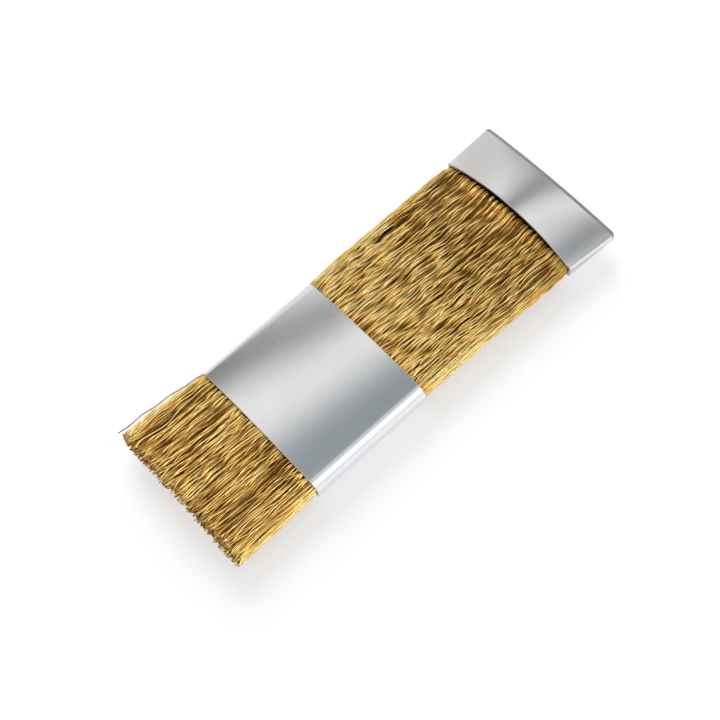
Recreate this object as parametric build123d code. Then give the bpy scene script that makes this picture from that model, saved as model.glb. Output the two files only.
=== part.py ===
"""Flat brass-wire cleaning brush: crimped wires doubled over inside a pinched end cap, with a sliding sleeve.

Frame: +X points to the closed end of the cap, -X to the wire tips, Y runs across the brush and +Z is up.
The brush lies on a broad face. The origin is under its middle, on the surface that it lies on.
"""
from build123d import *
import math
import os

# --- whole brush ---
brush_length = 63.7          # closed end of the cap to the longest wire tips

# --- end cap: a drawn cup, pinched thin at its closed end and swollen at its mouth ---
cap_length = 8.1
cap_wall = 0.35
cap_end_wall = 0.5           # metal across the closed end
cap_end_width = 23.3
cap_end_thickness = 2.4      # over the crowns of the two broad faces
cap_end_side = 1.3           # height of the narrow side face
cap_mouth_width = 22.4
cap_mouth_thickness = 6.2    # over the crowns, where the mouth's edge draws back
cap_mouth_side = 2.0
cap_edge_radius = 0.55       # between broad faces and side faces
cap_plan_radius = 0.6        # the two corners of the closed end, seen from above
cap_end_bevel = 0.3          # soft edge round the closed end
cap_mouth_pullback = 0.4     # how far the mouth's edge draws back at the crown

# --- sliding sleeve: a flat tube with gently arched broad faces and rounded sides ---
sleeve_length = 17.9
sleeve_width = 22.0
sleeve_thickness = 5.2       # over the crowns
sleeve_side = 3.5            # height where the arched faces would meet the sides
sleeve_corner = 1.6
sleeve_wall = 0.3
sleeve_place = 33.05         # from the closed end of the cap to the sleeve's near edge, as it rests

# --- brass wires, gathered into locks side by side across the brush ---
lock_count = 18
lock_gap = 0.13              # air between neighbouring locks
crimp_pitch = 7.9            # one whole wave of the crimp
crimp_depth = 0.22           # how far the crimp swings to each side
slide_clearance = 0.15       # wires to the sleeve's bore
cap_clearance = 0.12         # wires to the inside of the cap
swell_length = 2.6           # outside the mouth, where the pack thins to the sleeve's bore
outer_share = 0.54           # outer hairpin starts at this share of the half thickness
inner_share = 0.46           # inner hairpin ends at this share
core_share = 0.07            # inner hairpin's legs start at this share
outer_bend = 0.5             # outer hairpins turn this far inside the closed end's metal
inner_bend = 2.0             # inner hairpins turn here, nested in the outer ones
tip_raggedness = 0.9         # spread of the cut tips along the brush

corner_share_of_side = 0.47  # a corner takes at most this share of its side face
middle = cap_mouth_thickness / 2     # height of the brush's middle plane


def along(distance):
    """X of a point that lies this far from the closed end of the cap."""
    return brush_length / 2 - distance


def fitting_corner(side, corner):
    """The corner radius, no larger than the side face leaves room for."""
    return min(corner, side * corner_share_of_side)


def crowned_outline(width, side, thickness, corner):
    """Flat-oval face: two arched broad faces, two straight sides, four rounded corners."""
    half = width / 2
    top = ThreePointArc((-half, side / 2), (0, thickness / 2), (half, side / 2))
    right = Line((half, side / 2), (half, -side / 2))
    bottom = ThreePointArc((half, -side / 2), (0, -thickness / 2), (-half, -side / 2))
    left = Line((-half, -side / 2), (-half, side / 2))
    face = make_face([top, right, bottom, left])
    return fillet(face.vertices(), fitting_corner(side, corner))


def crowned_half_height(y, width, side, thickness, corner):
    """Half the height of a crowned outline at y, with its rounded corners taken into account."""
    corner = fitting_corner(side, corner)
    rise = (thickness - side) / 2
    radius = (width**2 / 4 + rise**2) / (2 * rise)
    arch = thickness / 2 - radius + math.sqrt(radius**2 - y**2)
    into_corner = abs(y) - (width / 2 - corner)
    if into_corner <= 0:
        return arch
    drop = corner - math.sqrt(max(corner**2 - into_corner**2, 0))
    return arch - drop


def upright_block(outline):
    """Solid that has this outline when seen from above, and reaches past the whole brush up and down."""
    return extrude(Pos(0, 0, middle) * make_face(outline), cap_mouth_thickness, both=True)


def cap_sizes(distance, inset):
    """Width, side height, thickness and corner of the cap's section, this far from its closed end."""
    share = distance / cap_length
    crown_share = distance / (cap_length - cap_mouth_pullback)
    width = cap_end_width + (cap_mouth_width - cap_end_width) * share
    side = cap_end_side + (cap_mouth_side - cap_end_side) * share
    thickness = cap_end_thickness + (cap_mouth_thickness - cap_end_thickness) * crown_share
    corner = max(cap_edge_radius - inset, 0.1)
    return width - 2 * inset, side - 2 * inset, thickness - 2 * inset, corner


def sleeve_sizes(inset):
    """Width, side height, thickness and corner of the sleeve's section."""
    corner = sleeve_corner - inset
    return sleeve_width - 2 * inset, sleeve_side - 2 * inset, sleeve_thickness - 2 * inset, corner


def across(distance):
    """Plane across the brush, this far from the closed end, with its normal towards the closed end."""
    return Plane(origin=(along(distance), 0, middle), x_dir=(0, 1, 0), z_dir=(1, 0, 0))


def cap_section(distance, inset):
    """Face across the cap, this far from its closed end and set in from its outer surface."""
    return across(distance) * crowned_outline(*cap_sizes(distance, inset))


def cap_closed_end():
    """Face of the closed end itself, smaller than the cap by the bevel round it."""
    width, side, thickness, corner = cap_sizes(0, 0)
    bevelled = crowned_outline(width - 2 * cap_end_bevel, side - cap_end_bevel, thickness - cap_end_bevel, corner)
    return across(0) * bevelled


def corner_waste(hand):
    """What is cut off to round one corner of the closed end, seen from above; hand is +1 or -1."""
    end_x = along(0)
    side_y = cap_end_width / 2
    chord = cap_plan_radius * (1 - math.sqrt(0.5))
    margin = cap_plan_radius
    run_in = 0.03 * cap_plan_radius     # the arc starts a little outside, because the cap's side tapers
    start = (end_x - cap_plan_radius, hand * (side_y + run_in))
    bulge = (end_x - chord, hand * (side_y - chord))
    finish = (end_x + run_in, hand * (side_y - cap_plan_radius))
    far_side = [
        (end_x + margin, hand * (side_y - cap_plan_radius)),
        (end_x + margin, hand * (side_y + margin)),
        (end_x - cap_plan_radius, hand * (side_y + margin)),
    ]
    outline = [ThreePointArc(start, bulge, finish), Polyline(finish, *far_side, start)]
    return upright_block(outline)


def mouth_waste():
    """What is cut off the mouth, so that its edge draws back at the crowns of the broad faces."""
    mouth_x = along(cap_length)
    half = cap_mouth_width / 2 - 2 * cap_edge_radius
    lip = ThreePointArc((mouth_x, -half), (mouth_x + cap_mouth_pullback, 0), (mouth_x, half))
    before = mouth_x - cap_mouth_pullback
    outline = [lip, Polyline((mouth_x, half), (before, half), (before, -half), (mouth_x, -half))]
    return upright_block(outline)


def make_end_cap():
    """Drawn aluminium cup: pinched closed end, swollen mouth, even wall, rounded plan corners."""
    outside = loft([cap_section(cap_length, 0), cap_section(cap_end_bevel, 0), cap_closed_end()], ruled=True)
    outside = outside - corner_waste(1) - corner_waste(-1)
    beyond_mouth = cap_length + cap_wall
    hollow = loft([cap_section(beyond_mouth, cap_wall), cap_section(cap_end_wall, cap_wall)], ruled=True)
    return outside - mouth_waste() - hollow


def make_sleeve():
    """Flat tube of thin sheet that slides along the wires."""
    near_edge = sleeve_place + sleeve_length
    ring = crowned_outline(*sleeve_sizes(0)) - crowned_outline(*sleeve_sizes(sleeve_wall))
    return extrude(across(near_edge) * ring, sleeve_length)


def bore_half_height(y):
    """Half the thickness that the wires may have at y, to run clear of the sleeve."""
    return crowned_half_height(y, *sleeve_sizes(sleeve_wall)) - slide_clearance


def cap_half_height(distance, y):
    """Half the room for the wires inside the cap, at y and this far from its closed end."""
    return crowned_half_height(y, *cap_sizes(distance, cap_wall)) - cap_clearance


room_in_sleeve = sleeve_width - 2 * (sleeve_wall + slide_clearance)
room_in_cap = min(cap_end_width, cap_mouth_width) - 2 * (cap_wall + cap_clearance)
pack_width = min(room_in_sleeve, room_in_cap)      # over the crimp's swings
lock_pitch = (pack_width - 2 * crimp_depth + lock_gap) / lock_count
lock_width = lock_pitch - lock_gap


def plan_strip(y):
    """A lock seen from above: a strip of even width that swings from side to side along the brush."""
    step = crimp_pitch / 2
    count = math.ceil((brush_length - cap_end_wall) / step)
    swings = [crimp_depth * (-1) ** i for i in range(count + 1)]
    line = [(along(cap_end_wall + i * step), y + swing) for i, swing in enumerate(swings)]
    one_side = [(x, v + lock_width / 2) for x, v in line]
    other_side = [(x, v - lock_width / 2) for x, v in reversed(line)]
    return upright_block(Polyline(*one_side, *other_side, close=True))


def layer_edge(reach, share, bend, tip):
    """Upper edge of a hairpin's leg from its bend to its tip, as (x, height over the middle plane)."""
    mouth = cap_length - cap_mouth_pullback
    spots = [bend, mouth, cap_length + swell_length, tip]
    rooms = [cap_half_height(bend, reach), cap_half_height(mouth, reach), bore_half_height(reach)]
    rooms.append(rooms[-1])
    return [(along(spot), room * share) for spot, room in zip(spots, rooms)]


def hairpin(y, bend, outer, inner, upper_tip, lower_tip):
    """Wires doubled over inside the cap: two legs that lie between two shares of the pack's half thickness."""
    reach = abs(y) + lock_width / 2 + crimp_depth
    wall = cap_half_height(bend, reach) * (outer - inner)
    turn = bend + wall
    nose = [(along(bend - wall / 2), 0)]
    upper_out = layer_edge(reach, outer, bend, upper_tip)
    upper_in = layer_edge(reach, inner, turn, upper_tip)
    lower_out = [(x, -z) for x, z in layer_edge(reach, outer, bend, lower_tip)]
    lower_in = [(x, -z) for x, z in layer_edge(reach, inner, turn, lower_tip)]
    ring = nose + upper_out + upper_in[::-1] + lower_in + lower_out[::-1]
    profile = make_face(Polyline(*[(x, z) for x, z in ring], close=True))
    side_plane = Plane(origin=(0, y + lock_pitch, middle), x_dir=(1, 0, 0), z_dir=(0, -1, 0))
    side_view = extrude(side_plane * profile, 2 * lock_pitch)
    return side_view & plan_strip(y)


def cut_back(index):
    """How far short of the longest tips a leg is cut: uneven, but the same on every build."""
    return tip_raggedness * math.sin(index * 2.4) ** 2


def make_lock(index):
    """One lock of wires: an inner hairpin nested in an outer one."""
    y = (index - (lock_count - 1) / 2) * lock_pitch
    tips = [brush_length - cut_back(4 * index + leg) for leg in range(4)]
    outer_turn = cap_end_wall + outer_bend
    inner_turn = cap_end_wall + inner_bend
    outer = hairpin(y, outer_turn, 1, outer_share, tips[0], tips[1])
    inner = hairpin(y, inner_turn, inner_share, core_share, tips[2], tips[3])
    return Compound(children=[outer.solid(), inner.solid()])


os.makedirs("parts", exist_ok=True)
export_step(make_end_cap(), "parts/end_cap.step")
export_step(make_sleeve(), "parts/sliding_sleeve.step")
for index in range(lock_count):
    export_step(make_lock(index), f"parts/wire_lock_{index + 1:02d}.step")
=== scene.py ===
"""Looks of the brass-wire cleaning brush: crimped wires, and a cap and sleeve of satin aluminium.

Shapes are worked out in mm in the CAD's frame (+X to the closed end of the cap, +Y across, +Z up), and built
in metres. A place along the brush is u, its distance from the closed end of the cap.
"""
import math
import bpy
import numpy as np
from mathutils import Matrix, Vector


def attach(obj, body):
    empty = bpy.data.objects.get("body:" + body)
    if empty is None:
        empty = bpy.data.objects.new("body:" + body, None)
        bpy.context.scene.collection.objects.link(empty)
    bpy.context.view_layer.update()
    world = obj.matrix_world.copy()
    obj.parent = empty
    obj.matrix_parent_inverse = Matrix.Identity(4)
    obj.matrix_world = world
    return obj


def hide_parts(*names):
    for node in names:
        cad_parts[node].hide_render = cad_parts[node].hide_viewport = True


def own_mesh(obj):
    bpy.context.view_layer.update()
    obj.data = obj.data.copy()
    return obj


MM = 0.001
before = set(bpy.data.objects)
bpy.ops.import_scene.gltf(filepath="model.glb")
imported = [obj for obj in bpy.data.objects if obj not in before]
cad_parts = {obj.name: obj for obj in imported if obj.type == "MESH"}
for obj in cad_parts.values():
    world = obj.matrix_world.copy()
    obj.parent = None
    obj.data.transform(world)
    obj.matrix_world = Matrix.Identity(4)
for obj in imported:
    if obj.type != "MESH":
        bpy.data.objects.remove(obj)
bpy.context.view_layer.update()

# --- sizes of the sheet parts, in mm ---
LENGTH = 63.7                       # closed end of the cap to the tips
MIDDLE = 3.1                        # height of the brush's middle plane
CAP = dict(
    length=8.1,
    wall=0.35,
    end=(23.6, 1.3, 2.4),           # width, side height and thickness at the closed end
    mouth=(22.6, 2.0, 6.2),         # the same at the mouth
    edge=0.55,                      # radius between broad faces and side faces
    least_edge=0.12,                # the same inside, where the wall leaves less
    plan=0.7,                       # radius of the closed end's corners, seen from above
    bevel=0.5,                      # soft edge round the closed end
    back=0.22,                      # how far the mouth's edge draws back at the crown
    floor=1.2,                      # u of the hollow's floor
    out=0.26,                       # the photographed cap sits this far out,
    skew=0.015,                     # and this much askew for each mm across
)
SLEEVE = dict(place=33.05, length=17.9, width=22.0, side=3.5, thick=5.2, corner=1.6, wall=0.3)
CORNER_SHARE = 0.47                 # a corner takes at most this share of its side face
LIP = 0.05                          # radius of the sheets' cut edges
HOLD = 0.012                        # a row this close to a lip keeps the face beside it flat
QUARTER_TURN = [math.pi / 2 * k / 4 for k in range(5)]

# --- sizes of the wires, in mm ---
WIRE_RADIUS = 0.078
WIRE_SIDES = 5
LOCKS = 18                          # pieces side by side that the wires are shared out over
PACK_HALF_WIDTH = 10.6              # from the middle to the outermost lock's far side
PACK_GAP = 0.03                     # the pack's outline to the sleeve's bore
SWELL_LENGTH = 2.6                  # outside the cap's mouth, where the pack thins to the bore
CRIMP = 4.0                         # one wave of a wire's crimp
WIRE_STEP = 0.36                    # between the points of a wire
LAYERS = 17                         # from the pack's surface inwards
LAYER_STEP = 0.13
SPACING = (0.36, 0.26, 0.21, 0.19)  # between wires, in the layers that run the whole length
TIP_SPACING = 0.24                  # in the layers further in, which only show at the tips
WIRE_START = 5.4                    # u where the whole wires start, inside the cap
TIP_START = 57.0                    # and where the others do
WIRE_FINISH = 63.3                  # u where wires are cut, before each one's own raggedness
LONGEST = 64.1                      # no wire reaches past this
BARE = 62.4                         # the sleeve never reaches past this, so the tips may splay here
HEART = (5.0, 58.0)                 # from where to where the heart fills the pack

# what changes along the brush: places u, then the value at each
CRIMPED = ((8, 11, 48, 54), (0.45, 1, 1, 0.65))             # how much of its crimp a wire has
LEFT_SPREAD = (                                             # how wide the pack stands at +Y
    (5, 8.0, 8.7, 31.8, 32.9, 51.1, 52.4, 62.4, 64),
    (0.7, 0.8, 1.7, 1.25, 0, 0, 0.9, 1.1, 1.6),
)
RIGHT_SPREAD = (                                            # and at -Y
    (5, 8.0, 8.7, 20, 28, 32.9, 51.1, 60, 62.4, 64),
    (0.7, 0.8, 1.45, 0.8, 0.2, 0, 0, 0.25, 0.4, 1.5),
)
# painted shade on the wires along the brush: added to their depth value, so the brass is painted darker where
# it is larger
PAINTED_SHADE_ALONG = (                                                # most at the cap, least just before the sleeve
    (6, 9, 14, 24, 31, 50, 55, 64),
    (0.14, 0.14, 0.06, -0.075, -0.09, 0.05, 0.07, 0.04),
)
BOW = ((8.5, 10.5, 29.5, 32.6), (0, 1, 1, 0))               # of loose wires between cap and sleeve
STRAY = ((51, 54, 57.5, 61, 64), (0.2, 0.72, 1.12, 1.4, 1.5))     # how far the stray wire stands out


# --- shapes ---
def smooth(share):
    """Smooth step of a share between 0 and 1."""
    return share * share * (3 - 2 * share)


def smooth_noise(a, b, cell_a, cell_b, seed):
    """Smooth noise of spread about 1 at points (a, b); one cell is the size of its lumps."""
    local = np.random.default_rng(seed)
    fa = np.asarray(a) / cell_a
    fb = np.asarray(b) / cell_b
    fa = fa - math.floor(fa.min())
    fb = fb - math.floor(fb.min())
    grid = local.normal(size=(int(fa.max()) + 3, int(fb.max()) + 3))
    ia = fa.astype(int)
    ib = fb.astype(int)
    ta = smooth(fa - ia)
    tb = smooth(fb - ib)
    low = grid[ia, ib] * (1 - ta) + grid[ia + 1, ib] * ta
    high = grid[ia, ib + 1] * (1 - ta) + grid[ia + 1, ib + 1] * ta
    lost_in_blending = 1.4
    return (low * (1 - tb) + high * tb) * lost_in_blending


def arch(y, width, side, thick):
    """Half height of an arched broad face at y."""
    rise = (thick - side) / 2
    radius = (width ** 2 / 4 + rise ** 2) / (2 * rise)
    return thick / 2 - radius + np.sqrt(np.maximum(radius ** 2 - y ** 2, 0))


def outline(width, side, thick, corner):
    """Closed crowned outline as points (y, z) about its own middle, from the +Y end round over the top."""
    side_steps, corner_steps, arch_steps = 6, 10, 40
    half = width / 2
    rise = (thick - side) / 2
    radius = (half ** 2 + rise ** 2) / (2 * rise)
    centre = thick / 2 - radius
    corner = min(corner, side * CORNER_SHARE)
    cz = centre + math.sqrt((radius - corner) ** 2 - (half - corner) ** 2)
    lean = math.atan2(half - corner, cz - centre)
    quarter = [(half, cz * k / side_steps) for k in range(side_steps)]
    for k in range(corner_steps):
        a = (math.pi / 2 - lean) * k / corner_steps
        quarter.append((half - corner + corner * math.cos(a), cz + corner * math.sin(a)))
    for k in range(arch_steps):
        a = lean * (1 - k / arch_steps)
        quarter.append((radius * math.sin(a), centre + radius * math.cos(a)))
    top = quarter + [(0, thick / 2)] + [(-y, z) for y, z in quarter[:0:-1]]
    whole = top + [(-half, 0.0)] + [(y, -z) for y, z in top[:0:-1]]
    return np.array(whole)


def set_in(sizes, inset):
    """Width, side height, thickness and corner of an outline that is set in by this much on every side."""
    width, side, thick, corner = sizes
    return width - 2 * inset, side - 2 * inset, thick - 2 * inset, corner - inset


def mesh_object(name, points, faces, body):
    """Mesh from points in mm, smooth shaded, riding on a CAD body."""
    mesh = bpy.data.meshes.new(name)
    mesh.from_pydata((np.asarray(points) * MM).tolist(), [], faces)
    mesh.validate()
    mesh.shade_smooth()
    piece = bpy.data.objects.new(name, mesh)
    bpy.context.scene.collection.objects.link(piece)
    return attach(piece, body)


def skin(rings, closed=False):
    """Faces between rings of equal count; closed adds a face over the first ring and one over the last."""
    n = len(rings[0])
    faces = []
    for r in range(len(rings) - 1):
        a = r * n
        b = a + n
        faces += [(a + k, a + (k + 1) % n, b + (k + 1) % n, b + k) for k in range(n)]
    if closed:
        last = (len(rings) - 1) * n
        faces.append(tuple(reversed(range(n))))
        faces.append(tuple(last + k for k in range(n)))
    return faces


def at(u, yz, pull=0):
    """Ring of points at u, pulled this much further towards the closed end of the cap."""
    x = np.full(len(yz), LENGTH / 2 - u) + pull
    return np.column_stack([x, yz[:, 0], MIDDLE + yz[:, 1]])


# --- sleeve: thin flat tube with rounded sheet edges ---
SLEEVE_OUTLINE = (SLEEVE["width"], SLEEVE["side"], SLEEVE["thick"], SLEEVE["corner"])
BORE = set_in(SLEEVE_OUTLINE, SLEEVE["wall"])


def make_sleeve():
    """The sleeve, how many points make one row of it, and the rows of its two rims."""
    wall = SLEEVE["wall"]
    start = SLEEVE["place"]
    end = start + SLEEVE["length"]
    near = start + LIP
    far = end - LIP
    outside = [(near, 0)] + [(u, 0) for u in np.linspace(near + HOLD, far - HOLD, 50)]
    far_rim = [(far, 0)] + [(far + LIP * math.sin(a), LIP - LIP * math.cos(a)) for a in QUARTER_TURN[1:]]
    far_rim += [(far + LIP * math.cos(a), wall - LIP + LIP * math.sin(a)) for a in QUARTER_TURN]
    inside = [(u, wall) for u in np.linspace(far - HOLD, near + HOLD, 14)]
    near_rim = [(near, wall)]
    near_rim += [(near - LIP * math.sin(a), wall - LIP + LIP * math.cos(a)) for a in QUARTER_TURN[1:]]
    near_rim += [(near - LIP * math.cos(a), LIP - LIP * math.sin(a)) for a in QUARTER_TURN[:-1]]
    loop = outside + far_rim + inside + near_rim
    rings = [at(u, outline(*set_in(SLEEVE_OUTLINE, inset))) for u, inset in loop]
    points = np.concatenate(rings)
    faces = [tuple(index % len(points) for index in face) for face in skin(rings + [rings[0]])]
    piece = mesh_object("sleeve_shell", points, faces, "sleeve")
    far_rows = range(len(outside), len(outside + far_rim))
    near_rows = range(len(loop) - len(near_rim), len(loop))
    return piece, len(rings[0]), [*far_rows, *near_rows]


# --- end cap: drawn cup, pinched at the closed end, swollen at the mouth ---
def cap_sizes(share, inset=0):
    """Width, side height and thickness of the cap, at a share of its length from the closed end."""
    return tuple(end + (mouth - end) * share - 2 * inset for end, mouth in zip(CAP["end"], CAP["mouth"]))


def cap_ring(u, inset):
    """Ring of the cap, rounded towards the closed end and drawn back at the crowns towards the mouth."""
    share = u / CAP["length"]
    width, side, thick = cap_sizes(share, inset)
    into_corner = max(CAP["plan"] - u, 0)
    cut = CAP["plan"] - math.sqrt(CAP["plan"] ** 2 - into_corner ** 2)
    into_bevel = max(CAP["bevel"] - u, 0)
    low = CAP["bevel"] - math.sqrt(CAP["bevel"] ** 2 - into_bevel ** 2)
    edge = max(CAP["edge"] - inset, CAP["least_edge"])
    yz = outline(width - 2 * cut, side - 2 * low, thick - 2 * low, edge)
    half = CAP["mouth"][0] / 2 - 2 * CAP["edge"]
    drawn_back = np.clip(1 - (yz[:, 0] / half) ** 2, 0, 1) * CAP["back"]
    return at(u, yz, drawn_back * share ** 3 + CAP["out"] + CAP["skew"] * yz[:, 0])


def make_cap():
    """The cap, how many points make one row of it, and the rows of its mouth's rim and of its closed end."""
    wall = CAP["wall"]
    mouth = CAP["length"] - LIP
    soft = max(CAP["bevel"], CAP["plan"])
    closed_end = [(soft * (1 - math.cos(math.pi / 2 * k / 12)), 0) for k in range(13)]
    outside = [(u, 0) for u in np.linspace(soft, mouth - HOLD, 40)[1:]]
    rim = [(mouth + LIP * math.sin(a), LIP * (1 - math.cos(a))) for a in QUARTER_TURN]
    rim += [(mouth + LIP * math.cos(a), wall - LIP * (1 - math.sin(a))) for a in QUARTER_TURN]
    inside = [(u, wall) for u in np.linspace(mouth - HOLD, CAP["floor"], 16)]
    rings = [cap_ring(u, inset) for u, inset in closed_end + outside + rim + inside]
    piece = mesh_object("cap_shell", np.concatenate(rings), skin(rings, closed=True), "brush")
    before_rim = len(closed_end + outside) - 1
    return piece, len(rings[0]), range(before_rim, before_rim + len(rim) + 1), range(len(closed_end) - 1)


# --- wires ---
def swell(u, y):
    """How much thicker the pack is than in the sleeve's bore, at each u."""
    clearance, flat_from = 0.03, 10.4
    bulge_height, bulge_place, bulge_reach = 0.38, 0.3, 0.75
    beyond = u - CAP["length"]
    y = np.clip(y, -flat_from, flat_from)
    room = arch(y, *cap_sizes(np.minimum(u, CAP["length"]) / CAP["length"], CAP["wall"])) - clearance
    bore = arch(y, *BORE[:3])
    fade = smooth(np.clip(beyond / SWELL_LENGTH, 0, 1))
    bulge = bulge_height * np.exp(-((beyond - bulge_place) / bulge_reach) ** 2)
    return (room + bulge) / bore * (1 - fade) + fade


def pack_line():
    """The pack's outline in the bore, as points (y, z), and the length along it at each point."""
    line = outline(*set_in(BORE, PACK_GAP))
    line = np.vstack([line, line[:1]])
    return line, np.concatenate([[0], np.cumsum(np.hypot(*np.diff(line, axis=0).T))])


PACK_LINE, PACK_LENGTHS = pack_line()
PACK_ROUND = PACK_LENGTHS[-1]


def on_pack(place):
    """The points (y, z) at these places round the pack's outline."""
    return np.interp(place, PACK_LENGTHS, PACK_LINE[:, 0]), np.interp(place, PACK_LENGTHS, PACK_LINE[:, 1])


def spread(u, y):
    """Outside the sleeve the outermost wires stand a little wider than its bore."""
    widest, outermost, blend = 0.034, 8.6, 2
    free = np.where(y > 0, np.interp(u, *LEFT_SPREAD), np.interp(u, *RIGHT_SPREAD))
    return y * (1 + widest * free * smooth(np.clip((np.abs(y) - outermost) / blend, 0, 1)))


def wire_paths(places, inset, start, finish, seed):
    """Centre lines of wires that lie round the pack's outline, and how deep each point lies in the pack,
    which sets its painted shade.
    """
    flank_from, flank_blend = 9.2, 1.3
    little = 0.25
    lit_length, lit_blend = 1.0, 0.7
    local = np.random.default_rng(seed)
    count = len(places)
    steps = int((finish.max() - start) / WIRE_STEP) + 1
    u = start + (finish[:, None] - start) * np.linspace(0, 1, steps)[None, :]
    row = np.arange(count)[:, None] * np.ones_like(u)
    place = places[:, None] * np.ones_like(u)
    flank = np.clip((np.abs(on_pack(place % PACK_ROUND)[0]) - flank_from) / flank_blend, 0, 1)
    crimped = np.interp(u, *CRIMPED)

    # each wire wanders, and crimps almost in step with its neighbours: noise by place is shared with the
    # wires beside it, and noise by row is the wire's own
    drift = smooth_noise(place, u, 0.7, 4.5, seed + 1) * 0.09
    drift = drift + smooth_noise(row, u, 1.0, 4.2, seed + 2) * 0.13
    phase = 2 * math.pi * u / CRIMP + smooth_noise(place, u, 0.9, 7.0, 3) * 1.5
    phase = phase + smooth_noise(row, u, 1.0, 5.0, seed + 4) * 0.85
    swing_across = 0.05 + 0.04 * local.random((count, 1))
    swing_inwards = 0.10 + 0.05 * local.random((count, 1))
    lean = smooth_noise(place, u, 1.6, 7.0, 5) * 0.5 - 1.3
    sway = drift + crimped * swing_across * np.sin(phase + lean)

    # the flanks are packed more evenly than the broad faces
    depth = inset + 0.1 * local.random((count, 1)) * (1 - 0.5 * flank)
    depth = depth + crimped * swing_inwards * (1 + np.sin(phase)) * (1 - 0.6 * flank)
    lumps = np.clip(smooth_noise(row, u, 1.0, 4.0, seed + 6), -1, 1)
    depth = depth + 0.05 * (1 + lumps) * (1 - flank)

    # inwards is square to the outline's run from a little before each point to a little after it
    place = (place + sway) % PACK_ROUND
    y, z = on_pack(place)
    y_after, z_after = on_pack((place + little) % PACK_ROUND)
    y_before, z_before = on_pack((place - little) % PACK_ROUND)
    run_y = y_after - y_before
    run_z = z_after - z_before
    run = np.hypot(run_y, run_z)
    z = (z + run_y / run * depth) * swell(u, y)
    y = spread(u, y - run_z / run * depth)

    # the tips splay, and their painted shade is lifted, as light gets at them however deep they lie
    splay = np.clip(u - BARE, 0, None)
    bend = np.clip(local.normal(0, 0.17, (2, count, 1)), -0.35, 0.35)
    paths = np.stack([LENGTH / 2 - u, y + splay * bend[0], MIDDLE + z + splay * bend[1]], axis=2)
    tip = np.clip((u - finish[:, None] + lit_length) / lit_blend, 0, 1)
    depth_at_tip = np.minimum(depth, 0.04 + 0.36 * local.random((count, 1)))
    return paths, depth + (depth_at_tip - depth) * tip


def tube_arrays(paths):
    """Points and quads of round wires along paths, and the flat cuts at their far ends."""
    count, steps, _ = paths.shape
    tangent = np.gradient(paths, axis=1)
    tangent /= np.linalg.norm(tangent, axis=2, keepdims=True)
    side = np.cross(tangent, np.array([0, 0, 1.0]))
    side /= np.linalg.norm(side, axis=2, keepdims=True)
    up = np.cross(side, tangent)
    angles = 2 * math.pi * np.arange(WIRE_SIDES) / WIRE_SIDES
    rim = side[:, :, None, :] * np.cos(angles)[None, None, :, None]
    rim = rim + up[:, :, None, :] * np.sin(angles)[None, None, :, None]
    points = paths[:, :, None, :] + rim * WIRE_RADIUS
    base = np.arange(count * steps * WIRE_SIDES).reshape(count, steps, WIRE_SIDES)
    near = base[:, :-1]
    far = base[:, 1:]
    quads = np.stack([near, np.roll(near, -1, axis=2), np.roll(far, -1, axis=2), far], axis=3).reshape(-1, 4)
    return points.reshape(-1, 3), quads, base[:, -1][:, ::-1]


def wires_object(name, bundles, body):
    """One mesh of wires from a list of (paths, tints, depths)."""
    points, quads, ends, tints, depths = [], [], [], [], []
    first = 0
    for paths, tint, depth in bundles:
        if not len(paths):
            continue
        new_points, new_quads, new_ends = tube_arrays(paths)
        points.append(new_points)
        quads.append(new_quads + first)
        ends.append(new_ends + first)
        tints.append(np.repeat(tint, paths.shape[1] * WIRE_SIDES))
        depths.append(np.repeat(depth.ravel(), WIRE_SIDES))
        first += len(new_points)
    points, quads, ends, tints, depths = map(np.concatenate, (points, quads, ends, tints, depths))
    mesh = bpy.data.meshes.new(name)
    mesh.vertices.add(len(points))
    mesh.vertices.foreach_set("co", (points * MM).astype(np.float32).ravel())
    mesh.loops.add(quads.size + ends.size)
    mesh.loops.foreach_set("vertex_index", np.concatenate([quads.ravel(), ends.ravel()]).astype(np.int32))
    mesh.polygons.add(len(quads) + len(ends))
    starts = np.concatenate([np.arange(len(quads)) * 4, quads.size + np.arange(len(ends)) * WIRE_SIDES])
    mesh.polygons.foreach_set("loop_start", starts.astype(np.int32))
    mesh.update(calc_edges=True)
    mesh.polygons.foreach_set("use_smooth", np.repeat([True, False], [len(quads), len(ends)]))
    for label, values in (("tint", tints), ("depth", depths)):
        attribute = mesh.attributes.new(label, "FLOAT", "POINT")
        attribute.data.foreach_set("value", values.astype(np.float32))
    mesh.validate()
    piece = bpy.data.objects.new(name, mesh)
    bpy.context.scene.collection.objects.link(piece)
    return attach(piece, body)


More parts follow.
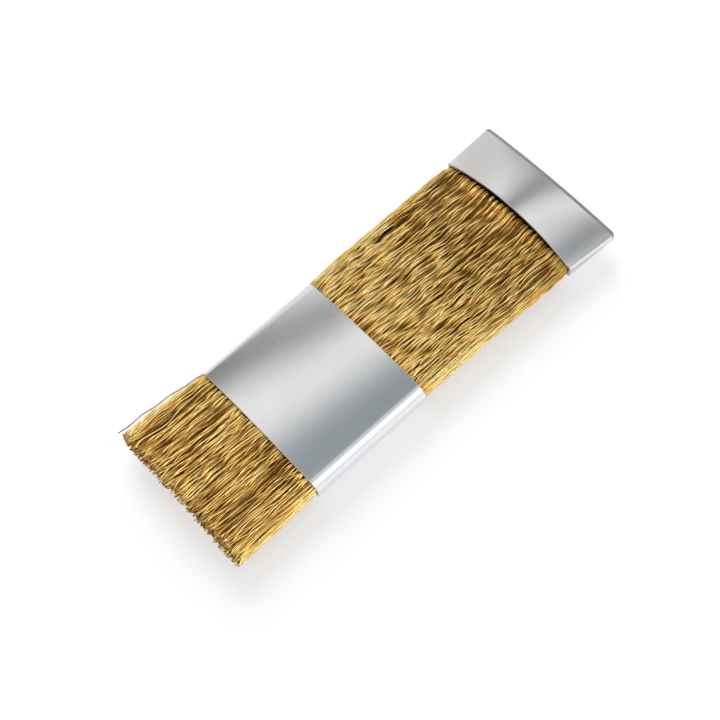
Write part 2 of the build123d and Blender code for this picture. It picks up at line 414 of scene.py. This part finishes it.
def make_loose_wires():
    """Wires that stand out at both sides: some bow out between cap and sleeve, the others beyond the sleeve.

    The last one strays furthest, by the sleeve's +Y corner.
    """
    local = np.random.default_rng(77)
    near_count, count = 44, 124
    near_start, far_start, step = 8.5, 30.0, 0.3
    tips, edge, flare_start, flare_length = 63.4, 10.46, 51.2, 12
    bundles = []
    for k in range(count):
        near_cap = k < near_count
        stray = k == count - 1
        hand = -1 if k % 4 == 0 else 1
        u = np.arange(near_start if near_cap else far_start, tips + local.uniform(-0.5, 0.3), step)
        bow = 0 * u
        if near_cap:
            bow = (0.4 if hand > 0 else 0.12) * local.uniform(0.1, 1.25) * np.interp(u, *BOW)
        beyond = np.clip((u - flare_start) / flare_length, 0, 1)
        flare = (1.0 if hand > 0 else 0.35) * local.uniform(0.2, 1.0)
        flare = flare * np.sin(beyond * local.uniform(1.3, 2.0))
        height = local.uniform(-0.85, 1.15)
        # depth is no real depth here: it only sets how dark the brass's shade ramp paints these wires; the
        # stray wire comes out darkest
        depth = 0.2
        if stray:
            flare = np.interp(u, *STRAY)
            height = 0.95
            depth = 0.8
        phase = 2 * math.pi * u / CRIMP + local.uniform(0, 6)
        y = hand * (edge + bow + flare + 0.05 * np.sin(phase))
        z = MIDDLE + height * swell(u, y) + 0.07 * np.sin(phase + 1)
        path = np.stack([LENGTH / 2 - u, y, z], axis=1)[None]
        bundles.append((path, np.array([local.random()]), np.full((1, len(u)), depth)))
    piece = wires_object("wires_loose", bundles, "brush")
    return piece


def make_wires():
    """The pack's wires, layer by layer, shared out over pieces side by side that replace the CAD's locks."""
    rng = np.random.default_rng(11)
    half_width, half_thick = 11, 2.3
    less_each_layer = 0.015
    shorter_below, longer_outside = 0.17, 0.03
    groups = [[] for _ in range(LOCKS)]
    for layer in range(LAYERS):
        inset = WIRE_RADIUS + LAYER_STEP * layer
        whole_length = layer < len(SPACING)
        start = WIRE_START if whole_length else TIP_START
        spacing = SPACING[layer] if whole_length else TIP_SPACING
        share_of_round = 1 if whole_length else 1 - less_each_layer * layer
        count = int(PACK_ROUND / spacing * share_of_round)
        places = (np.arange(count) + rng.uniform(-0.3, 0.3, count)) * PACK_ROUND / count
        y, z = on_pack(places)
        y = y * (1 - inset / half_width)
        z = z * (1 - inset / half_thick)
        ragged = np.clip(rng.normal(0, 0.32, count), -0.8, 0.7)
        finish = WIRE_FINISH - shorter_below * (BORE[2] / 2 - z) + longer_outside * np.abs(y) + ragged
        finish = np.minimum(finish, LONGEST)
        paths, depth = wire_paths(places, inset, start, finish, 100 + 10 * layer)
        # painted shade along the brush, added on top of the depth's own painted shade
        depth = depth + np.interp(LENGTH / 2 - paths[:, :, 0], *PAINTED_SHADE_ALONG)
        tint = rng.random(count)
        lock = ((y + PACK_HALF_WIDTH) / (2 * PACK_HALF_WIDTH) * LOCKS).astype(int)
        lock = np.clip(lock, 0, LOCKS - 1)
        for k in range(LOCKS):
            chosen = lock == k
            groups[k].append((paths[chosen], tint[chosen], depth[chosen]))
    pieces = []
    for k, bundles in enumerate(groups):
        piece = wires_object(f"wires_{k + 1:02d}", bundles, "brush")
        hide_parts(f"wire_lock_{k + 1:02d}")
        pieces.append(piece)
    return pieces


def make_heart():
    """Body for the densely packed inner wires, painted dark as their shade, and seen only as darkness between
    the outer ones.
    """
    under, under_at_side, corner = 1.8, 1.7, 0.5
    yz = outline(BORE[0] - under, BORE[1] - under_at_side, BORE[2] - under, corner)
    rings = []
    for u in np.linspace(*HEART, 60):
        thicker = swell(np.full(len(yz), u), yz[:, 0])
        rings.append(at(u, yz * np.column_stack([np.ones(len(yz)), thicker])))
    return mesh_object("wire_heart", np.concatenate(rings), skin(rings, closed=True), "brush")


# --- materials ---
def node(tree, kind, **values):
    """New node, with its sockets and settings given by name."""
    made = tree.nodes.new(kind)
    for key, value in values.items():
        if key in made.inputs:
            made.inputs[key].default_value = value
        else:
            setattr(made, key, value)
    return made


def empty_tree(owner, output):
    """Cleared node tree of a material or world, and its new output node."""
    owner.use_nodes = True
    owner.node_tree.nodes.clear()
    return owner.node_tree, node(owner.node_tree, output)


def new_metal(name):
    """Metal, with its tree and its shader."""
    material = bpy.data.materials.new(name)
    tree, out = empty_tree(material, "ShaderNodeOutputMaterial")
    shader = node(tree, "ShaderNodeBsdfPrincipled", Metallic=1.0)
    tree.links.new(shader.outputs[0], out.inputs[0])
    return material, tree, shader


def noise(tree, scale, detail, stretch=None):
    """Noise over the object, drawn out along the axes where stretch is below 1."""
    place = node(tree, "ShaderNodeTexCoord").outputs["Object"]
    if stretch:
        mapping = node(tree, "ShaderNodeMapping", Scale=stretch)
        tree.links.new(place, mapping.inputs["Vector"])
        place = mapping.outputs[0]
    made = node(tree, "ShaderNodeTexNoise", Scale=scale, Detail=detail)
    tree.links.new(place, made.inputs["Vector"])
    return made.outputs["Fac"]


def remap(tree, source, before=(0.0, 1.0), after=(0.0, 1.0)):
    """Socket that turns one range of values into another."""
    made = node(tree, "ShaderNodeMapRange")
    for key, value in zip(("From Min", "From Max", "To Min", "To Max"), (*before, *after)):
        made.inputs[key].default_value = value
    tree.links.new(source, made.inputs["Value"])
    return made.outputs[0]


def combine(tree, operation, first, second):
    """Socket with the outcome of this operation on two sockets."""
    made = node(tree, "ShaderNodeMath", operation=operation)
    tree.links.new(first, made.inputs[0])
    tree.links.new(second, made.inputs[1])
    return made.outputs[0]


def ramp(tree, source, stops):
    """Socket with the colours of these stops."""
    made = node(tree, "ShaderNodeValToRGB")
    elements = made.color_ramp.elements
    while len(elements) < len(stops):
        elements.new(0.5)
    for element, (place, colour) in zip(elements, stops):
        element.position = place
        element.color = (*colour, 1)
    tree.links.new(source, made.inputs[0])
    return made.outputs[0]


def add_bump(tree, shader, height, strength):
    """Fine relief, a hundredth of a millimetre high."""
    bump = node(tree, "ShaderNodeBump", Strength=strength, Distance=0.01 * MM)
    tree.links.new(height, bump.inputs["Height"])
    tree.links.new(bump.outputs[0], shader.inputs["Normal"])


def aluminium(name, low, high, rough_range):
    """Rolled sheet: cloudy between two tones, with a fine grain that runs across the brush."""
    material, tree, shader = new_metal(name)
    grain = noise(tree, 14000, 3, stretch=(1, 0.12, 1))
    tone = ramp(tree, noise(tree, 350, 5), [(0.3, low), (0.7, high)])
    tree.links.new(tone, shader.inputs["Base Color"])
    tree.links.new(remap(tree, grain, (0.3, 0.7), rough_range), shader.inputs["Roughness"])
    add_bump(tree, shader, grain, 0.04)
    return material


def brass(name, dark=1.0):
    """Drawn wire: its tone changes at random from wire to wire and along each wire. Painted shade darkens it
    with the depth value, and a pale painted highlight lights the least deep wires; dark scales all its
    colours down, for painted shade.
    """
    material, tree, shader = new_metal(name)
    share_of_tint = 0.3
    tint = node(tree, "ShaderNodeAttribute", attribute_name="tint")
    depth = node(tree, "ShaderNodeAttribute", attribute_name="depth")
    mix = node(tree, "ShaderNodeMath", operation="MULTIPLY_ADD")
    mix.inputs[1].default_value = share_of_tint
    tree.links.new(tint.outputs["Fac"], mix.inputs[0])
    tree.links.new(noise(tree, 500, 3, stretch=(0.35, 1, 1)), mix.inputs[2])
    # painted shade from the depth value: the deeper, the further down the ramp
    painted_shade = remap(tree, depth.outputs["Fac"], (0.14, 0.55), (0.38, -0.34))
    # the low stops are painted shade, the top stop a pale painted highlight on the outermost wires
    stops = [
        (0.25, (0.25, 0.118, 0.026)),
        (0.55, (0.68, 0.42, 0.115)),
        (0.82, (0.98, 0.71, 0.235)),
        (1.0, (1.0, 0.82, 0.38)),
    ]
    stops = [(place, tuple(dark * part for part in colour)) for place, colour in stops]
    tone = ramp(tree, combine(tree, "ADD", mix.outputs[0], painted_shade), stops)
    tree.links.new(tone, shader.inputs["Base Color"])
    grain = noise(tree, 12000, 3)
    tree.links.new(remap(tree, grain, after=(0.14, 0.3)), shader.inputs["Roughness"])
    add_bump(tree, shader, grain, 0.2)
    shader.inputs["Specular Tint"].default_value = (1.0, 0.76, 0.36, 1)
    return material


def dress_sheet(piece, metal, row_size, zones, side_metal=None):
    """Metal for a sheet, other metals for zones of its rows, and one for its side faces if there is one."""
    steepness_of_side = 0.97
    for material in (metal, *[zone_metal for zone_metal, _ in zones]):
        piece.data.materials.append(material)
    if side_metal:
        piece.data.materials.append(side_metal)
    for polygon in piece.data.polygons:
        row = min(polygon.vertices) // row_size
        for index, (_, rows) in enumerate(zones):
            if row in rows:
                polygon.material_index = index + 1
        if side_metal and polygon.material_index == 0 and abs(polygon.normal.y) > steepness_of_side:
            polygon.material_index = len(zones) + 1


# --- the brush ---
sleeve, sleeve_row, sleeve_rims = make_sleeve()
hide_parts("sliding_sleeve")
cap, cap_row, cap_rim, cap_end = make_cap()
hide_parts("end_cap")
satin = aluminium("satin_aluminium", (0.845, 0.86, 0.875), (0.875, 0.88, 0.885), (0.17, 0.21))
# the cut rims of sleeve and cap: rougher than the faces, and painted darker, a painted dim reflection of the
# wires and dark gap beside them
rim_painted_dim = aluminium("cut_rim_painted_dim", (0.5, 0.5, 0.5), (0.66, 0.65, 0.63), (0.35, 0.5))
# the closed end's soft edge and flat end are painted dark grey: a painted dark reflection along the fold
painted_dark_end = aluminium("closed_end_painted_dark", (0.36, 0.385, 0.375), (0.44, 0.46, 0.45), (0.28, 0.4))
# the cap's flat side faces are painted grey: a painted reflection of the shaded floor at their foot
side_painted_grey = aluminium("cap_side_painted_grey", (0.62, 0.645, 0.635), (0.7, 0.72, 0.71), (0.25, 0.35))
dress_sheet(sleeve, satin, sleeve_row, [(rim_painted_dim, sleeve_rims)])
dress_sheet(cap, satin, cap_row, [(rim_painted_dim, cap_rim), (painted_dark_end, cap_end)], side_painted_grey)
wires = make_wires()
loose = make_loose_wires()
gold = brass("brass_wire")
for piece in (*wires, loose):
    piece.data.materials.append(gold)
heart = make_heart()
# the heart's brass is painted at about a third of its brightness: painted shade
heart.data.materials.append(brass("brass_shade", 0.35))

# the outer wires draw in as the sleeve slides over them, and the heart with them; these numbers say how much
# each keeps, but nothing here uses them: each piece only gets a mesh of its own
DRAWN_IN = (
    (loose, 0.8),
    (heart, 0.87),
    (wires[0], 0.94),
    (wires[1], 0.97),
    (wires[LOCKS - 2], 0.97),
    (wires[LOCKS - 1], 0.915),
)
for piece, keep in DRAWN_IN:
    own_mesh(piece)

# --- stage, in metres ---
FLOOR_HALF = 3.0
FLOOR_COLOUR = (0.60, 0.60, 0.625, 1)
GLOW_REACH = (0.12, 0.7)            # between these distances from the brush
GLOW = (0.52, 0.67)                 # the floor's glow grows like this, where the lamp's light falls off
WORLD_LEVEL = 0.55
WHITE = (1, 1, 1, 1)
TENT_WHITE = (0.985, 0.975, 0.965, 1.0)
TENT_ROWS = 120
TENT_COLUMNS = 240
TENT_RADIUS = 1.3

# panels of the tent, in degrees of a and b (see tent_levels): centre, half size, soft edge and turn; then
# how bright a grey and how cool
PANELS = [
    ((-14, 10), (8, 32), (4, 8), 0, 3.0, -0.03),           # bright boxes, for the wires' highlights
    ((8, -48), (9, 8), (4, 8), 0, 3.4, -0.03),
    ((34, 52), (10.5, 16), (4, 4), 0, 0.64, -0.04),        # broad pale grey, seen in the cap's left part
    ((47, 15), (8, 24), (4, 6), 0, 0.92, -0.03),
    ((49.2, 31), (8, 3.7), (2, 3), 0, 0.0, 0.0),           # narrow dark, seen in the cap's middle
    ((42, 31.5), (4, 6.5), (1.5, 4), 0, 0.0, 0.0),
    ((35.3, -4), (5.6, 21), (4.8, 4), -8.5, 0.2, 0.08),    # dark, seen in the cap's right part
    ((11, 15), (15, 8.5), (5, 4), -25, 0.90, -0.02),       # the slow fade across the sleeve
    ((10, 6), (15, 8.5), (5, 4.5), -25, 0.25, 0.16),
    ((9, -14), (13, 7), (5, 11), 0, 0.55, 0.08),           # its end, in the sleeve's rounded side
    ((11.5, 35.4), (10, 3.1), (3, 2.0), -57, 0.02, 0.3),   # narrow dark along the sleeve's left part
    ((3.5, 51), (6, 14), (3, 3), 0, 0.06, 0.08),
    ((27, -58), (7, 14), (3, 4), 0, 0.6, 0.02),            # grey, then dark, in the cap's edge radius
    ((28, -35), (8, 7), (3, 3), 0, 0.08, 0.05),
    ((10, -87), (60, 3), (6, 3), 0, 0.7, 0.05),            # thin grey at the horizon, in the narrow sides
    ((74, 0), (18, 60), (5, 10), 0, 0.12, 0.0),            # low dark, seen in the closed end's soft edge
    ((74, -50), (18, 38), (5, 20), 0, 0.7, 0.0),           # slow fades, seen in the broad faces from the side
    ((-70, 60), (22, 50), (8, 30), 0, 0.3, 0.03),
    ((-15, -72), (9, 9), (6, 8), 0, 0.35, 0.03),
    ((-33, 54), (10, 15), (6, 10), 0, 0.35, 0.03),
    ((-33, -52), (10, 15), (6, 10), 0, 0.35, 0.03),
    ((46, -68), (8, 6), (5, 10), 0, 0.42, 0.03),
    ((-46, -66), (10, 6), (6, 12), 0, 0.42, 0.03),
    ((-44, 72), (12, 5), (6, 12), 0, 0.45, 0.03),
    ((0, 82), (40, 4), (10, 9), 0, 0.5, 0.03),
]


def stage_object(name, mesh, material, only_mirrored=False):
    """A piece of the stage; one that is only mirrored is neither seen by the camera nor lights or shades."""
    piece = bpy.data.objects.new(name, mesh)
    bpy.context.scene.collection.objects.link(piece)
    if only_mirrored:
        piece.visible_camera = False
        piece.visible_diffuse = False
        piece.visible_shadow = False
    mesh.materials.append(material)


def seen(tree):
    """Socket that is 1 for what is seen, straight on, mirrored or through glass, and 0 for what lights."""
    path = node(tree, "ShaderNodeLightPath")
    both = combine(tree, "MAXIMUM", path.outputs["Is Camera Ray"], path.outputs["Is Glossy Ray"])
    return combine(tree, "MAXIMUM", both, path.outputs["Is Transmission Ray"])


def make_floor():
    """Floor that keeps a soft shadow, and glows so that it comes out white."""
    mesh = bpy.data.meshes.new("floor")
    r = FLOOR_HALF
    mesh.from_pydata([(-r, -r, 0), (r, -r, 0), (r, r, 0), (-r, r, 0)], [], [(0, 1, 2, 3)])
    material = bpy.data.materials.new("floor_white")
    tree, out = empty_tree(material, "ShaderNodeOutputMaterial")
    matt = node(tree, "ShaderNodeBsdfDiffuse", Color=FLOOR_COLOUR)
    glow = node(tree, "ShaderNodeEmission", Color=WHITE)
    place = node(tree, "ShaderNodeTexCoord")
    reach = node(tree, "ShaderNodeVectorMath", operation="LENGTH")
    tree.links.new(place.outputs["Object"], reach.inputs[0])
    grown = remap(tree, reach.outputs["Value"], GLOW_REACH, GLOW)
    tree.links.new(combine(tree, "MULTIPLY", seen(tree), grown), glow.inputs["Strength"])
    add = node(tree, "ShaderNodeAddShader")
    tree.links.new(matt.outputs[0], add.inputs[0])
    tree.links.new(glow.outputs[0], add.inputs[1])
    tree.links.new(add.outputs[0], out.inputs[0])
    stage_object("floor", mesh, material)


def make_world():
    """World that is white where it is seen, and gives off less light than that."""
    world = bpy.data.worlds.new("studio")
    bpy.context.scene.world = world
    tree, out = empty_tree(world, "ShaderNodeOutputWorld")
    back = node(tree, "ShaderNodeBackground", Color=WHITE)
    tree.links.new(remap(tree, seen(tree), after=(WORLD_LEVEL, 1.0)), back.inputs["Strength"])
    tree.links.new(back.outputs[0], out.inputs[0])


def make_lamp(name, place, target, size, power):
    """Round soft lamp, hidden from mirrors."""
    data = bpy.data.lights.new(name, "AREA")
    data.shape = "DISK"
    data.size = size
    data.energy = power
    lamp = bpy.data.objects.new(name, data)
    lamp.location = place
    lamp.visible_glossy = False
    lamp.rotation_euler = (Vector(target) - Vector(place)).to_track_quat("-Z", "Y").to_euler()
    bpy.context.scene.collection.objects.link(lamp)


def soft_box(a, b, centre, reach, soft, turn):
    """1 inside a rectangle of directions, fading to 0 over its soft edge; angles in degrees."""
    c = math.cos(math.radians(turn))
    s = math.sin(math.radians(turn))
    da = a - centre[0]
    db = b - centre[1]
    mask = 1.0
    for value, half, edge in ((da * c + db * s, reach[0], soft[0]), (-da * s + db * c, reach[1], soft[1])):
        mask = mask * smooth(np.clip((half + edge - np.abs(value)) / (2 * edge), 0, 1))
    return mask


def tent_levels(directions):
    """Colour of the tent in each direction; a is its slope towards +X, b its turn from straight up to +Y."""
    a = np.degrees(np.arcsin(np.clip(directions[:, 0], -1, 1)))
    b = np.degrees(np.arctan2(directions[:, 1], directions[:, 2]))
    level = np.full((len(directions), 4), TENT_WHITE)
    for centre, reach, soft, turn, grey, cool in PANELS:
        mask = soft_box(a, b, centre, reach, soft, turn)[:, None]
        colour = np.array([grey * (1 - cool), grey, grey * (1 + 0.6 * cool), 1.0])
        level = level * (1 - mask) + colour * mask
    return level


def make_backdrop():
    """Studio tent that the metal mirrors: white, with soft grey panels."""
    theta = np.linspace(0.0, math.pi, TENT_ROWS)
    turn = np.linspace(0, 2 * math.pi, TENT_COLUMNS, endpoint=False)
    theta, turn = np.meshgrid(theta, turn, indexing="ij")
    rings = np.stack([np.cos(theta), np.sin(theta) * np.sin(turn), np.sin(theta) * np.cos(turn)], axis=2)
    directions = rings.reshape(-1, 3)
    mesh = bpy.data.meshes.new("backdrop")
    mesh.from_pydata((directions * TENT_RADIUS).tolist(), [], skin(rings))
    shade = mesh.attributes.new("level", "FLOAT_COLOR", "POINT")
    shade.data.foreach_set("color", tent_levels(directions).astype(np.float32).ravel())
    material = bpy.data.materials.new("backdrop")
    tree, out = empty_tree(material, "ShaderNodeOutputMaterial")
    glow = node(tree, "ShaderNodeEmission")
    value = node(tree, "ShaderNodeAttribute", attribute_name="level")
    tree.links.new(value.outputs["Color"], glow.inputs["Color"])
    tree.links.new(glow.outputs[0], out.inputs[0])
    stage_object("backdrop", mesh, material, only_mirrored=True)


def make_camera(eye, aim, roll, lens):
    """Camera rolled by this many degrees about its line of sight."""
    data = bpy.data.cameras.new("camera")
    data.lens = lens
    data.sensor_width = 36.0
    data.clip_start = 0.005
    data.clip_end = 20
    camera = bpy.data.objects.new("camera", data)
    bpy.context.scene.collection.objects.link(camera)
    forward = (aim - eye).normalized()
    right = forward.cross(Vector((0, 0, 1))).normalized()
    up = right.cross(forward)
    c = math.cos(math.radians(roll))
    s = math.sin(math.radians(roll))
    turned = Matrix((right * c + up * s, -right * s + up * c, -forward)).transposed()
    camera.matrix_world = Matrix.Translation(eye) @ turned.to_4x4()
    bpy.context.scene.camera = camera


make_floor()
make_world()
make_lamp("key", place=(0.3, 0.55, 0.5), target=(0, 0, 0), size=0.6, power=3.6)
make_backdrop()

# the photograph's angle
eye = Vector((-0.04116, -0.06034, 0.15031))
aim = Vector((-0.00351, -0.00137, 0.0031))
make_camera(eye, aim, roll=-11.1, lens=65.0)
bpy.context.scene.view_settings.view_transform = "Standard"
